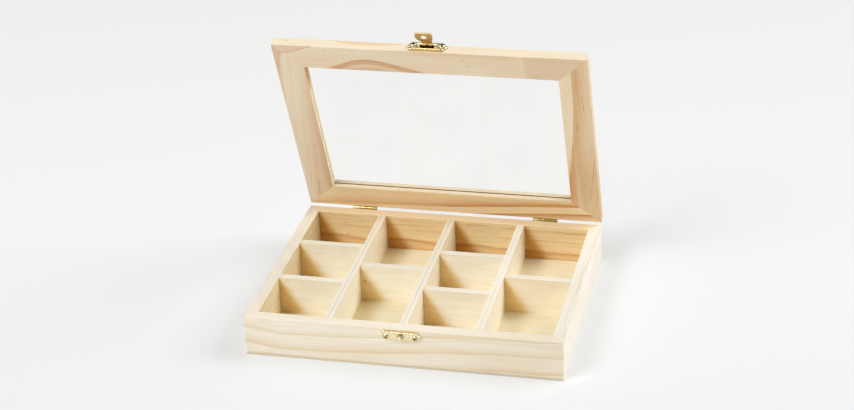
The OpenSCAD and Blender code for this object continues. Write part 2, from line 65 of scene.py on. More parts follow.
class Value:
    """A number, a point or a colour in a material; arithmetic on it adds nodes."""

    def __init__(self, tree, socket):
        self.tree = tree
        self.socket = socket

    def feed(self, target):
        self.tree.links.new(self.socket, target)

    def math(self, operation, *items):
        """What a Math node makes of the items, which are its inputs in order."""
        node = self.tree.nodes.new("ShaderNodeMath")
        node.operation = operation
        for socket, item in zip(node.inputs, items):
            put(self.tree, item, socket)
        return Value(self.tree, node.outputs[0])

    def __add__(self, other):
        return self.math("ADD", self, other)

    def __sub__(self, other):
        return self.math("SUBTRACT", self, other)

    def __rsub__(self, other):
        return self.math("SUBTRACT", other, self)

    def __mul__(self, other):
        return self.math("MULTIPLY", self, other)

    def __truediv__(self, other):
        return self.math("DIVIDE", self, other)

    def __neg__(self):
        return self.math("MULTIPLY", self, -1)

    def fraction(self):
        return self.math("FRACT", self)

    def floor(self):
        return self.math("FLOOR", self)

    def size(self):
        return self.math("ABSOLUTE", self)

    def most(self, other):
        return self.math("MAXIMUM", self, other)

    def hump(self, middle, width):
        """A smooth hump of height 1 round a middle."""
        share = (self - middle) / width
        return self.math("EXPONENT", -(share * share))

    def step(self, low, high):
        """0 at low, 1 at high, smooth between."""
        node = self.tree.nodes.new("ShaderNodeMapRange")
        node.interpolation_type = "SMOOTHSTEP"
        put(self.tree, self, node.inputs["Value"])
        node.inputs["From Min"].default_value = low
        node.inputs["From Max"].default_value = high
        return Value(self.tree, node.outputs["Result"])

    def ramp(self, stops):
        """A broken line through (place, height) stops, with heights from 0 to 1, and level past its ends."""
        low = stops[0][0]
        high = stops[-1][0]
        node = self.tree.nodes.new("ShaderNodeValToRGB")
        node.color_ramp.interpolation = "LINEAR"
        ((self - low) / (high - low)).feed(node.inputs[0])
        elements = node.color_ramp.elements
        for element, (place, height) in zip((elements[0], elements[1]), (stops[0], stops[-1])):
            element.position = (place - low) / (high - low)
            element.color = (height, height, height, 1)
        for place, height in stops[1:-1]:
            element = elements.new((place - low) / (high - low))
            element.color = (height, height, height, 1)
        return Value(self.tree, node.outputs[0])

    def parts(self):
        """The point's three coordinates."""
        node = self.tree.nodes.new("ShaderNodeSeparateXYZ")
        self.feed(node.inputs[0])
        return [Value(self.tree, socket) for socket in node.outputs]

    def noise(self, factors, detail, roughness=0.5, shift=0.0):
        """Noise from 0 to 1 over the point. factors are its cycles per mm along each coordinate."""
        node = self.tree.nodes.new("ShaderNodeTexNoise")
        moved = self.tree.nodes.new("ShaderNodeVectorMath")
        moved.operation = "MULTIPLY_ADD"
        self.feed(moved.inputs[0])
        moved.inputs[1].default_value = factors
        moved.inputs[2].default_value = (shift, shift * 1.7, shift * 2.3)
        self.tree.links.new(moved.outputs[0], node.inputs["Vector"])
        node.inputs["Scale"].default_value = 1
        node.inputs["Detail"].default_value = detail
        node.inputs["Roughness"].default_value = roughness
        return Value(self.tree, node.outputs["Fac"])

    def chance(self):
        """A number from 0 to 1 that differs for each whole number."""
        node = self.tree.nodes.new("ShaderNodeTexWhiteNoise")
        node.noise_dimensions = "1D"
        self.feed(node.inputs["W"])
        return Value(self.tree, node.outputs["Value"])


def put(tree, item, socket):
    """Sets a socket to a number or colour, or links a value to it."""
    if isinstance(item, Value):
        item.feed(socket)
    elif isinstance(item, tuple) and len(item) == 3:
        socket.default_value = (*item, 1)
    else:
        socket.default_value = item


def mix(share, first, second, blend="MIX"):
    """A colour between two, or with MULTIPLY the first darkened by the second."""
    tree = share.tree
    node = tree.nodes.new("ShaderNodeMix")
    node.data_type = "RGBA"
    node.blend_type = blend
    put(tree, share, node.inputs["Factor"])
    put(tree, first, node.inputs[6])
    put(tree, second, node.inputs[7])
    return Value(tree, node.outputs[2])


def tinted_darker(colour, share, darker_tint):
    """The colour multiplied by a darker tint where share is 1, for stains in the wood and for painted shade.
    """
    return mix(share, colour, darker_tint, "MULTIPLY")


def tint(*levels):
    """The linear colour of a screen colour, whose levels go from 11 to 255."""
    return tuple(((level / 255 + 0.055) / 1.055) ** 2.4 for level in levels)


class Paint:
    """A material with a Principled shader, and the surface's points in mm in a body's own frame."""

    def __init__(self, name, lid=False):
        self.material = bpy.data.materials.new(name)
        self.material.use_nodes = True
        self.tree = self.material.node_tree
        self.shader = self.tree.nodes["Principled BSDF"]
        self.point = self.frame_point(lid)

    def frame_point(self, lid):
        """Points in mm: of the base as it stands, or of the lid as if it were closed."""
        source = self.tree.nodes.new("ShaderNodeTexCoord")
        place = self.tree.nodes.new("ShaderNodeMapping")
        place.vector_type = "POINT"
        self.tree.links.new(source.outputs["Object"], place.inputs["Vector"])
        place.inputs["Scale"].default_value = (1000, 1000, 1000)
        if lid:
            turn = Matrix.Rotation(LID_OPEN, 3, "X")
            place.inputs["Rotation"].default_value = turn.to_euler("XYZ")
            place.inputs["Location"].default_value = (LID_HINGE - turn @ LID_HINGE) * 1000
        return Value(self.tree, place.outputs["Vector"])

    def set(self, **values):
        for name, value in values.items():
            put(self.tree, value, self.shader.inputs[name.replace("_", " ")])

    def relief(self, height, depth_mm):
        node = self.tree.nodes.new("ShaderNodeBump")
        node.inputs["Strength"].default_value = 1
        node.inputs["Distance"].default_value = depth_mm / 1000
        height.feed(node.inputs["Height"])
        self.tree.links.new(node.outputs["Normal"], self.shader.inputs["Normal"])

    def give(self, *names):
        for name in names:
            slots = NODES[name].data.materials
            slots.clear()
            slots.append(self.material)


# Wood

def along(grain, fast, slow):
    """Cycles per mm: slow along the grain, fast across it."""
    return tuple(slow if axis == grain else fast for axis in "xyz")


def line(value, points):
    """A broken line through (place, height) points."""
    heights = [height for place, height in points]
    low = min(heights)
    reach = max(heights) - low
    return value.ramp([(place, (height - low) / reach) for place, height in points]) * reach + low


def from_left_side(x):
    """Distance in mm from the left side of the column of compartments that x is in."""
    return ((x + INNER_HALF_W) / COLUMN_PITCH).fraction() * COLUMN_PITCH


def painted_corner_shade(colour, x, z, darker_tint, strength=1.0):
    """Painted shade: warmer, darker wood in the shadow of each compartment's left side, widening downwards.
    """
    share = (from_left_side(x) - (WALL_TOP - z) * 0.6).step(7, -5) * strength
    return tinted_darker(colour, share, darker_tint)


def on_wall_top(z):
    """1 on the top faces of the walls, and 0 below them."""
    return z.step(WALL_TOP - 0.7, WALL_TOP - 0.2)


def wave_of(paint, grain, shift, size=6.0):
    """Slow waves of that size in mm, for the course of a line in the wood."""
    return (paint.point.noise(along(grain, 0.04, 0.02), 2.0, shift=shift) - 0.5) * size


def late_bands(across, bands):
    """Dark late wood at each (place, reach, strength).

    A band begins sharply, within 0.45 mm of its place, and fades over its reach to one side.
    """
    stops = []
    for place, reach, strength in bands:
        edge = math.copysign(0.45, reach)
        stops += [
            (place - edge, 0), (place, strength * 0.9), (place + reach * 0.12, strength),
            (place + reach * 0.45, strength * 0.45), (place + reach, 0),
        ]
    stops.sort()
    return across.ramp([(stops[0][0] - 1, 0)] + stops + [(stops[-1][0] + 1, 0)])


def growth(across, spacing, dark, seed):
    """Evenly grown rings: each darkens slowly and ends sharply, and some are darker than others."""
    place = across / spacing
    part = place.fraction()
    strength = (place.floor() + seed).chance() * 0.7 + 0.3
    return part.step(0.3, 0.93) * part.step(1.0, 0.95) * strength * dark


def streaks(paint, x, y, slope, marks):
    """Resin streaks that run along y and lean by slope.

    Each is (its middle along y, x there, half length, half width, strength).
    """
    sway = (paint.point.noise((0.3, 0.07, 0.3), 2.0, shift=71) - 0.5) * 1.6
    ragged = paint.point.noise((1.2, 0.14, 1.2), 2.0, 0.7, shift=72) * 0.9 + 0.4
    total = None
    for middle, place, reach, width, strength in marks:
        side = (x + y * slope + sway - (place + middle * slope)) / width
        length = (y - middle) / reach
        mark = (1 - side * side).most(0) * (1 - length * length).most(0) * strength
        total = mark if total is None else total.most(mark)
    return total * ragged


def pine(node, grain, rings, pale, late, seed, marks_and_shade, lid=False, flecks=0.5, waves=0.5):
    """Sawn pine whose grain runs along the axis called grain.

    rings gives the lateness of the wood, from 0 to 1, at a point moved by the grain's waves, and
    marks_and_shade changes the colour last, with marks in the wood and painted shade.
    """
    paint = Paint("pine_" + node, lid)
    point = paint.point
    wave = (point.noise(along(grain, 0.03, 0.012), 2.0, shift=seed) - 0.5) * (5 * waves)
    ripple = (point.noise(along(grain, 0.2, 0.025), 2.0, shift=seed + 3) - 0.5) * (1.8 * waves)
    x, y, z = point.parts()
    lateness = rings(x, y, z, wave + ripple)
    # Every band is uneven along its length
    streak = point.noise(along(grain, 0.45, 0.012), 3.0, 0.6, shift=seed + 7)
    lateness = lateness * (streak * 0.9 + 0.55)
    colour = mix(lateness, pale, late)
    # Broad changes of colour, then coarse and fine fibres
    cloud = point.noise(along(grain, 0.05, 0.01), 1.0, shift=seed + 11)
    colour = tinted_darker(colour, (cloud - 0.4).most(0) * 1.6, tint(250, 240, 230))
    coarse = point.noise(along(grain, 0.8, 0.018), 2.0, 0.6, shift=seed + 17)
    colour = tinted_darker(colour, (coarse - 0.5).most(0) * 1.2, tint(238, 220, 200))
    fibre = point.noise(along(grain, 2.4, 0.045), 4.0, 0.7, shift=seed + 13)
    colour = tinted_darker(colour, (fibre - 0.5).most(0), tint(228, 208, 186))
    dash = point.noise(along(grain, 0.8, 0.1), 1.0, shift=seed + 23).step(0.76, 0.84)
    colour = tinted_darker(colour, dash * flecks, tint(200, 164, 132))
    colour = marks_and_shade(paint, colour, x, y, z)
    paint.set(Base_Color=colour, Roughness=(fibre - 0.5) * 0.2 - lateness * 0.06 + 0.62)
    paint.shader.inputs["Specular IOR Level"].default_value = 0.3
    paint.relief(fibre + lateness * 0.5, 0.05)
    paint.give(node)


# Front wall: a ring about every 16 mm, rising to the right, with a fainter one between
RING_RISE = [
    (-150, 13.6), (-138, 12.7), (-126, 10.1), (-115, 8.6), (-95, 9.3), (-66, 9.9), (-44, 11.5), (-19, 13.2),
    (11, 16.1), (26, 17.9), (63, 20), (92, 21.9), (127, 21.9), (150, 23.6),
]
FAINT_RISE = [
    (-150, 21), (-128, 16.2), (-116, 13.6), (-99, 12.7), (-83, 14), (-44, 18.3), (-21, 22), (0, 25.9),
    (60, 34),
]


def front_rings(x, y, z, wave):
    height = z + (y - FRONT_FACE) * 0.16 + wave
    main = late_bands(
        height - line(x, RING_RISE),
        [(-17.3, 5, 1.0), (0, 7, 0.85), (16.2, 6, 0.8), (31.7, 5, 0.45)],
    )
    faint = late_bands(height - line(x, FAINT_RISE), [(0, 3, 0.4)])
    return main.most(faint) * (1 - on_wall_top(z) * 0.75)


def front_streaks_and_top_shade(paint, colour, x, y, z):
    """Duller to the right, with faint painted shade on the top face and a few resin streaks on the left."""
    colour = tinted_darker(colour, x.step(-40, 150), tint(246, 243, 240))
    # Faint painted shade on the top face
    colour = tinted_darker(colour, on_wall_top(z), tint(253, 252, 252))
    marks = [
        (-120, 33.5, 7, 0.35, 0.35), (-133, 36.5, 5, 0.35, 0.35), (-137, 26.5, 6, 0.35, 0.3),
        (-104, 30.6, 5, 0.35, 0.3), (-88, 22.6, 8, 0.35, 0.25), (-60, 30.4, 6, 0.35, 0.25),
    ]
    return tinted_darker(colour, streaks(paint, z, x, 0.09, marks), tint(186, 124, 84))


pine(
    "front_wall", "x", front_rings, tint(246, 241, 225), tint(233, 218, 184), seed=1.0, waves=0.3,
    marks_and_shade=front_streaks_and_top_shade,
)


def back_rings(x, y, z, wave):
    edge = line(x, [
        (-150, 15), (-120, 15.5), (-100, 13.5), (-84, 12), (-62, 15.5), (-45, 16), (-25, 13.5), (-12, 12),
        (8, 14), (25, 15), (45, 12.5), (80, 13), (110, 12), (150, 11),
    ])
    return (z - edge + (y - BACK_INNER_FACE) * 0.3 + wave * 0.7).ramp(
        [(-16, 0.3), (-9, 0.55), (-5, 0.35), (-1.4, 0.75), (-0.3, 0.8), (0.9, 0.1), (4, 0)]
    )


def back_grain_and_shade(paint, colour, x, y, z):
    """Broken dark lines above the low band, and painted shade in the left corner of each compartment."""
    sway = (paint.point.noise((0.02, 0.1, 0.1), 2.0, shift=81) - 0.5) * 9
    broken = (paint.point.noise((0.03, 0.2, 0.2), 2.0, shift=82) - 0.32).most(0) * 2.4
    lines = late_bands(
        z + x * 0.012 + sway,
        [(20.5, -3, 0.5), (25.5, -4, 0.9), (31.2, -3, 0.7), (36.6, -4, 0.9)],
    )
    colour = tinted_darker(colour, lines * broken * (x.step(0, 60) * 0.35 + 0.55), tint(218, 168, 108))
    spots = paint.point.noise((0.07, 0.4, 0.4), 1.0, shift=83).step(0.68, 0.78)
    colour = tinted_darker(colour, spots * 0.5, tint(214, 158, 96))
    # Painted shade in each compartment's left corner, on the inner face only
    inside = y.step(BACK_INNER_FACE + 1, BACK_INNER_FACE + 0.5)
    colour = painted_corner_shade(colour, x, z, tint(234, 200, 146), inside)
    return mix(on_wall_top(z) * 0.75, colour, tint(240, 220, 186))


pine(
    "back_wall", "x", back_rings, tint(237, 214, 168), tint(208, 154, 93), seed=2.0, waves=0.9,
    marks_and_shade=back_grain_and_shade,
)


def on_left_inner_face(x):
    """1 on the left wall's inner face, and 0 outside it."""
    return x.step(-INNER_HALF_W - 0.9, -INNER_HALF_W - 0.3)


def left_rings(x, y, z, wave):
    strength = on_left_inner_face(x) * 0.34 + 0.1
    return growth(z + y * 0.2 + (x + INNER_HALF_W) * 0.35 + wave, 6.3, 1.0, 9) * strength


def left_tone_and_shade(paint, colour, x, y, z):
    """Warmer inside, painted shade there deepening to the back, and painted shade on top, least in front."""
    inside = on_left_inner_face(x) * (1 - on_wall_top(z))
    colour = tinted_darker(colour, inside, tint(249, 240, 216))
    # Painted shade: the inner face darker towards the back
    colour = tinted_darker(colour, inside * y.step(-60, 90), tint(226, 222, 220))
    # Painted shade on the top face, least at the front and strongest in the middle
    top_shade = line(y, [(-110, 0.1), (-60, 0.5), (0, 0.8), (60, 0.8), (110, 0.55)])
    return tinted_darker(colour, on_wall_top(z) * top_shade, tint(236, 236, 233))


pine(
    "left_wall", "y", left_rings, tint(247, 239, 223), tint(233, 206, 162), seed=3.0, flecks=0.2,
    marks_and_shade=left_tone_and_shade,
)


def right_rings(x, y, z, wave):
    near = line(y, [
        (-114, 151), (-74, 145.7), (-38, 145.9), (-11, 148.7), (12, 147.1), (60, 151), (114, 154),
    ])
    streak = late_bands(x - near + wave * 0.5, [(0, -2.2, 0.5)]) * z.step(36, 40)
    return streak.most(growth(x * 0.9 + z * 0.3 + wave, 9.0, 0.16, 12))


def right_top_shade(paint, colour, x, y, z):
    # Painted shade: the top face a little darker than the sides
    return tinted_darker(colour, on_wall_top(z), tint(242, 240, 237))


pine(
    "right_wall", "y", right_rings, tint(250, 248, 238), tint(240, 218, 184), seed=4.0, flecks=0.2,
    marks_and_shade=right_top_shade,
)

# Lid
LID_PALE = tint(241, 228, 204)
LID_LATE = tint(214, 168, 122)

# Figure of the lid's front rail: the arch and the corner on its underside, the lens on its front edge
ARCH = [
    (-150, -60), (-104, -83), (-95, -87.2), (-84, -92.1), (-74.6, -97), (-64.7, -98.9), (-56.8, -99.6),
    (-48.3, -98.3), (-39.9, -96.5), (-27.4, -92.6), (-12, -88), (0, -84), (150, -60),
]
CORNER = [
    (-150, -102.5), (-142, -103.6), (-134.8, -105), (-127.4, -106.7), (-118.8, -110.6), (-112, -113.4),
    (-100, -118),
]
LENS = [
    (-150, 56), (-104, 52), (-100, 50.9), (-91.5, 50.3), (-77.8, 47.4), (-64.5, 46.4), (-51.5, 46.6),
    (-38.8, 47.5), (-26.2, 49.1), (-18, 52), (150, 56),
]


def on_lid_underside(z):
    """1 on the lid's underside, and 0 above it."""
    return z.step(LID_UNDERSIDE + 1, LID_UNDERSIDE + 0.2)


def lid_front_rings(x, y, z, wave):
    arch = (y - line(x, ARCH) + wave * 0.3 - (z - LID_UNDERSIDE) * 0.5).ramp(
        [(-1.2, 0), (0.3, 0.88), (4.8, 0.76), (6.2, 0.3), (9, 0.2), (10.5, 0.5), (12.5, 0.4), (16, 0.1)]
    )
    corner = y - line(x, CORNER) + wave * 0.3
    region = corner.step(0.5, -0.5) * 0.25
    rim = corner.hump(-0.2, 0.9) * 0.5
    return arch.most((region + rim) * x.step(-104, -110) * on_lid_underside(z))


def lid_front_finish(paint, colour, x, y, z):
    """A pinkish front strip and a dull right end below, and the paler lens in front."""
    under = on_lid_underside(z)
    outer = y.step(FRONT_FACE + 0.9, FRONT_FACE + 0.2)
    leaning = x - y * 0.12
    pink = (y + wave_of(paint, "x", 61)).step(-104, -112) * x.step(-60, -10) * x.step(95, 60)
    colour = tinted_darker(colour, pink * under * 0.5, tint(244, 224, 204))
    colour = tinted_darker(colour, leaning.step(101, 105) * under * 0.7, tint(236, 222, 208))
    colour = tinted_darker(colour, x.step(40, 75) * leaning.step(105, 101) * under * 0.5, tint(246, 238, 226))
    above = z - line(x, LENS) + wave_of(paint, "x", 62, 1.0)
    lens = above.step(-0.3, 0.5) * 0.5 + above.hump(0.3, 0.5) * 0.4
    colour = tinted_darker(colour, lens * outer, tint(240, 218, 170))
    edge_marks = [
        (-138.5, 48, 7, 0.4, 0.6), (-140.8, 43.4, 1.2, 0.5, 0.5),
        (-128.3, 43, 2, 0.5, 0.5), (-113, 42, 2, 0.5, 0.5),
    ]
    colour = tinted_darker(colour, streaks(paint, z, x, 0.18, edge_marks) * outer, tint(186, 126, 78))
    marks = [
        (32.7, -105.7, 4, 0.6, 0.5), (38.2, -98, 3, 0.6, 0.45), (9.6, -90.5, 3, 0.6, 0.4),
        (53.4, -102.1, 4, 0.6, 0.4), (-99, -108.4, 2.5, 0.6, 0.5),
    ]
    return tinted_darker(colour, streaks(paint, y, x, 0.0, marks) * under, tint(192, 122, 80))


pine("lid_front_rail", "x", lid_front_rings, LID_PALE, LID_LATE, seed=5.0, marks_and_shade=lid_front_finish, lid=True)


def lid_back_rings(x, y, z, wave):
    edge = line(x, [
        (-150, 112), (-84, 109), (-41, 106.5), (-3, 105.2), (40, 100.9), (71, 97.8), (102, 95.2),
        (128, 93.4), (150, 92.4),
    ])
    across = y - edge + wave * 0.5 + (z - LID_UNDERSIDE) * 0.3
    strong = x.step(-60, 30) * 0.45 + 0.55
    return late_bands(across, [(-0.2, -13, 1.0), (10.2, 9, 1.0)]) * strong


def lid_back_finish(paint, colour, x, y, z):
    """The edge round the glass is paler, and dark in its groove."""
    edge = y.step(RAIL_INNER_EDGE + 0.3, RAIL_INNER_EDGE + 0.1)
    colour = mix(edge, colour, tint(213, 194, 164))
    groove = y.step(RAIL_INNER_EDGE + 0.2, RAIL_INNER_EDGE + 0.5) * (z - GLASS_MIDDLE).size().step(1.3, 1.1)
    return tinted_darker(colour, groove, tint(178, 148, 108))


pine(
    "lid_back_rail", "x", lid_back_rings, tint(249, 229, 193), tint(214, 160, 97), lid=True, seed=6.0,
    waves=0.3, flecks=0.2, marks_and_shade=lid_back_finish,
)


def lid_left_rings(x, y, z, wave):
    band = line(y, [
        (-114, -139.5), (-103.7, -141.2), (-91.4, -144.8), (-79.2, -146.7), (-66.9, -147.2), (-20, -149.5),
        (114, -152),
    ])
    outer = (x - band + wave * 0.3).step(0.9, -0.9) * 0.5
    inner = x.step(-132, -123) * y.step(-70, 50) * 0.5
    return outer.most(inner).most(growth(x + y * 0.11 + wave, 9.0, 0.18, 26))


def lid_left_finish(paint, colour, x, y, z):
    """Pinkish towards the glass, with long resin streaks; the edge at the glass is darker in front."""
    pinkish = (x + y * 0.1).step(-136, -130) * 0.5
    colour = tinted_darker(colour, pinkish, tint(240, 222, 208))
    marks = [
        (-56, -128.4, 12, 0.5, 0.35), (-26, -131.6, 7, 0.5, 0.3), (33, -138.1, 22, 0.5, 0.3),
        (72, -142.4, 15, 0.5, 0.35), (-25, -124.2, 17, 0.5, 0.25), (26, -129.8, 5, 0.5, 0.35),
        (50, -132.5, 12, 0.5, 0.3), (87, -136.6, 13, 0.7, 0.6),
    ]
    colour = tinted_darker(colour, streaks(paint, x, y, 0.11, marks), tint(186, 108, 68))
    edge_tint = mix(y.step(-72, -45), tint(206, 160, 112), tint(240, 225, 194))
    return mix(x.step(-STILE_INNER_EDGE - 0.5, -STILE_INNER_EDGE - 0.2), colour, edge_tint)


pine(
    "lid_left_stile", "y", lid_left_rings, tint(242, 229, 206), LID_LATE, lid=True, seed=7.0, flecks=0.3,
    marks_and_shade=lid_left_finish,
)


def lid_right_rings(x, y, z, wave):
    lower = y + 94
    across = x - 134 + lower * lower * 0.00058 + wave * 0.3 + (z - LID_UNDERSIDE) * 0.4
    return late_bands(across, [(0, 26, 0.8)]).most(late_bands(across, [(7, 5, 0.6), (30, 5, 0.1)]))


def lid_right_finish(paint, colour, x, y, z):
    """Warmer by the glass towards the hinges, duller beside it, with resin streaks."""
    low = y.step(10, 80) * x.step(134, 123)
    colour = tinted_darker(colour, low * 0.7, tint(243, 214, 172))
    colour = tinted_darker(colour, y.step(-30, 65) * x.step(130, 136), tint(239, 225, 208))
    marks = [
        (-84.9, 142.0, 3.5, 0.6, 0.45), (-62.6, 141.4, 4.5, 0.6, 0.5), (-52, 142.7, 4, 0.6, 0.45),
        (-23, 135.1, 5, 0.6, 0.45), (7.8, 128.1, 4, 0.6, 0.45), (32.5, 133, 5, 0.6, 0.4),
        (42, 146.2, 25, 0.6, 0.45), (72, 142.6, 12, 0.6, 0.45),
    ]
    return tinted_darker(colour, streaks(paint, x, y, 0.13, marks), tint(190, 112, 60))


pine(
    "lid_right_stile", "y", lid_right_rings, tint(243, 229, 202), tint(214, 172, 119), lid=True, seed=8.0,
    flecks=0.3, marks_and_shade=lid_right_finish,
)

# Plywood

def veneer(point, grain, colour, seed):
    """Colour and fibres of a peeled face veneer: soft wide figure, fine fibres and a few specks."""
    figure = point.noise(along(grain, 0.07, 0.01), 2.0, 0.5, shift=seed)
    bands = (figure * 6).fraction()
    soft = bands.step(0.0, 0.8) * bands.step(1.0, 0.8)
    result = mix(soft * 0.2, colour, tuple(a * b for a, b in zip(colour, tint(244, 226, 200))))
    coarse = point.noise(along(grain, 0.9, 0.025), 2.0, 0.6, shift=seed + 3)
    result = tinted_darker(result, (coarse - 0.5).most(0) * 0.5, tint(238, 220, 194))
    fibre = point.noise(along(grain, 2.2, 0.06), 3.0, 0.65, shift=seed + 5)
    result = tinted_darker(result, (fibre - 0.5).most(0) * 0.8, tint(228, 206, 176))
    speck = point.noise((0.25, 0.25, 0.25), 0.0, shift=seed + 9).step(0.86, 0.89)
    return tinted_darker(result, speck * 0.7, tint(176, 130, 90)), fibre


def plywood(node, across, grain, colour, core_colour, seed, marks_and_shade, core=0.4, middle=0.5, rim=None):
    """Plywood sheet whose thickness runs along the axis called across, with its plies seen on its edges.

    core is the share of the thickness that its core takes, and middle where the core lies, from 0 to 1. Its
    top edge has the colour rim.
    """
    paint = Paint("ply_" + node)
    point = paint.point
    low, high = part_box(node)
    axis = "xyz".index(across)
    depth = (point.parts()[axis] - low[axis] * 1000) / ((high[axis] - low[axis]) * 1000)
    depth = depth + (point.noise((0.03, 0.03, 0.03), 2.0, shift=seed + 2) - 0.5) * 0.1
    face, fibre = veneer(point, grain, colour, seed)
    low_side = middle - core / 2
    high_side = middle + core / 2
    inside = depth.step(low_side - 0.03, low_side + 0.03) * depth.step(high_side + 0.03, high_side - 0.03)
    streak = point.noise(along(grain, 1.3, 0.03), 3.0, 0.6, shift=seed + 4)
    inner = mix(streak.step(0.35, 0.7), core_colour, tuple(c * 0.9 for c in core_colour))
    if rim:
        top = point.parts()[2].step(high[2] * 1000 - 0.4, high[2] * 1000 - 0.1)
        face = mix(top, face, tinted_darker(rim, (fibre - 0.5).most(0), tint(236, 222, 200)))
    both = mix(inside * 0.85, face, inner)
    both = marks_and_shade(both, *point.parts())
    paint.set(Base_Color=both, Roughness=(fibre - 0.5) * 0.2 + 0.66)
    paint.shader.inputs["Specular IOR Level"].default_value = 0.3
    paint.relief(fibre, 0.03)
    paint.give(node)


PLY_CORE = tint(230, 221, 205)
PLY_RIM = tint(240, 233, 217)
PLY_PALE = tint(253, 247, 230)
# A paler copy of the plywood for the cross dividers' faces, which look to the front: painted light
PLY_FRONT_LIT = tint(255, 251, 236)
CROSS_RIM = tint(234, 226, 208)
# Middle of the knot on the second column's cross divider
KNOT_X = -63.3
KNOT_Z = 23.4


def long_rear_shade(colour, x, y, z):
    """Painted shade: the left and the middle divider are duller towards the back."""
    return tinted_darker(colour, y.step(-30, 95) * x.step(60, 50), tint(238, 230, 220))


for number, (node, core_colour) in enumerate((
    ("long_divider_left", PLY_CORE),
    ("long_divider_middle", PLY_CORE),
    ("long_divider_right", tint(236, 228, 212)),
)):
    plywood(
        node, "x", "y", PLY_PALE, core_colour, seed=30.0 + number, core=0.3, middle=0.45, rim=PLY_RIM,
        marks_and_shade=long_rear_shade,
    )


def cross_knot_and_shade(colour, x, y, z):
    """Painted shade at the left, a little darker towards the bottom, with one knot in the second column."""
    aside = x - KNOT_X
    up = z - KNOT_Z
    colour = tinted_darker(colour, (aside * aside + up * up).step(3.2, 0.5) * 0.6, tint(204, 138, 76))
    colour = tinted_darker(colour, z.step(26, 6) * 0.35, tint(245, 241, 236))
    return painted_corner_shade(colour, x, z, tint(255, 229, 178))


# The rims of the front dividers in columns 1 and 3 are paler and the rest darker: painted light at the front
# and painted shade at the back
for number, (node, rim, face) in enumerate((
    ("cross_divider_1_front", tint(243, 235, 218), PLY_FRONT_LIT),
    ("cross_divider_1_rear", tint(231, 223, 204), PLY_FRONT_LIT),
    ("cross_divider_2", CROSS_RIM, PLY_FRONT_LIT),
    ("cross_divider_3_front", tint(238, 230, 213), PLY_FRONT_LIT),
    ("cross_divider_3_rear", CROSS_RIM, PLY_FRONT_LIT),
    ("cross_divider_4", CROSS_RIM, tint(250, 241, 218)),
)):
    plywood(node, "y", "x", face, rim, seed=40.0 + number, rim=rim, marks_and_shade=cross_knot_and_shade)


def panel_edges_light_and_shade(colour, x, y, z):
    """Painted shade on its front edge and each column's left, a pale right edge, painted light at the back
    right.
    """
    # Painted shade on the front edge, under the wall, stronger to the right
    front = y.step(FRONT_FACE + 0.5, FRONT_FACE + 0.35) * z.step(PANEL_TOP - 0.7, PANEL_TOP - 1.2)
    colour = mix(front * (x.step(-60, 100) * 0.4 + 0.5), colour, tint(210, 199, 187))
    colour = mix(x.step(SIDE_FACE - 0.6, SIDE_FACE - 0.4), colour, tint(250, 243, 226))
    top = z.step(PANEL_TOP - 0.3, PANEL_TOP - 0.1)
    # Painted shadow of each column's left side on the floor, but not in the last column
    corner = from_left_side(x).step(28, 6) * x.step(75, 72)
    colour = tinted_darker(colour, corner * top, tint(243, 232, 206))
    # Painted light on the floor at the back of the last column
    last_column_painted_light = x.step(72, 75) * x.step(115, 90) * y.step(15, 25)
    return mix(last_column_painted_light * top * 0.7, colour, tint(252, 240, 206))


plywood(
    "bottom_panel", "z", "x", tint(241, 231, 201), tint(232, 214, 184), seed=50.0, core=0.34,
    marks_and_shade=panel_edges_light_and_shade,
)

# Brass and glass

# Heights of the plate screws, their distance from the middle, and the height of the knob
CATCH_SCREW_Z = 32.6
CLASP_SCREW_Z = 49.5
SCREW_X = 13.6
KNOB_Z = 33.1
# How much darker the hinges' barrels are, from 0 to 1, along x: the left hinge knuckle by knuckle, then the
# right
BARREL_DARKNESS = [
    (-106, 0.5), (-99.6, 0.5), (-99.2, 0.85), (-93.2, 0.75), (-92.8, 1), (-86.8, 0.85), (-86.4, 1),
    (80, 0.4), (92, 0.8), (94, 1), (106, 1),
]


def barrel_tone_shade_and_reflection(colour, x, y, z, lid):
    """Darker barrels, painted reflection on the rails, and painted shade at the knob's foot and behind the
    flap.
    """
    front = y.step(FRONT_FACE + 0.3, FRONT_FACE + 0.1)
    barrel = y.step(BACK_FACE - 0.5, BACK_FACE - 0.2) * (z - HINGE_AXIS).size().step(2.2, 1.9)
    colour = tinted_darker(colour, barrel * line(x, BARREL_DARKNESS), tint(166, 148, 92))
    if lid:
        # Painted reflection: a tan strip on the clasp's rail
        rail = z.step(43.4, 42.9)
        colour = mix(front * rail * 0.7, colour, tint(206, 168, 100))
        # Painted shade: dark in the recess behind the flap
        recess = y.step(-114.2, -114.05) * x.size().step(6.9, 6.6) * z.step(44.6, 44.9) * z.step(51.0, 50.8)
        return mix(recess * front, colour, tint(64, 42, 18))
    # Painted shade: a dark ring round the knob's foot
    up = z - KNOB_Z
    knob = x * x + up * up
    colour = mix(front * knob.step(3.2, 4.6) * knob.step(12, 9.5) * 0.75, colour, tint(170, 128, 62))
    # Painted reflection: a tan strip on the top of the catch's rail
    rail = z.step(38.1, 38.6)
    return mix(front * rail * 0.75, colour, tint(222, 190, 132))


def painted_recess_shade(colour, x, y, z, screw_z):
    """Painted shade: brown at the bottom of the cross recesses of the plate screws."""
    aside = x.size() - SCREW_X
    up = z - screw_z
    reach = (aside * aside + up * up).step(5.3, 4.2)
    deep = y.step(-115.45, -115.3)
    return mix(reach * deep, colour, tint(140, 90, 34))


def rubbed(point, fine, tone):
    """Dull and grainy brass of one tone, and paler at its foot."""
    colour = mix(fine.step(0.3, 0.7), tone, tuple(c * 0.8 for c in tone))
    return mix(point.parts()[2].step(267, 262) * 0.8, colour, tint(246, 212, 148))


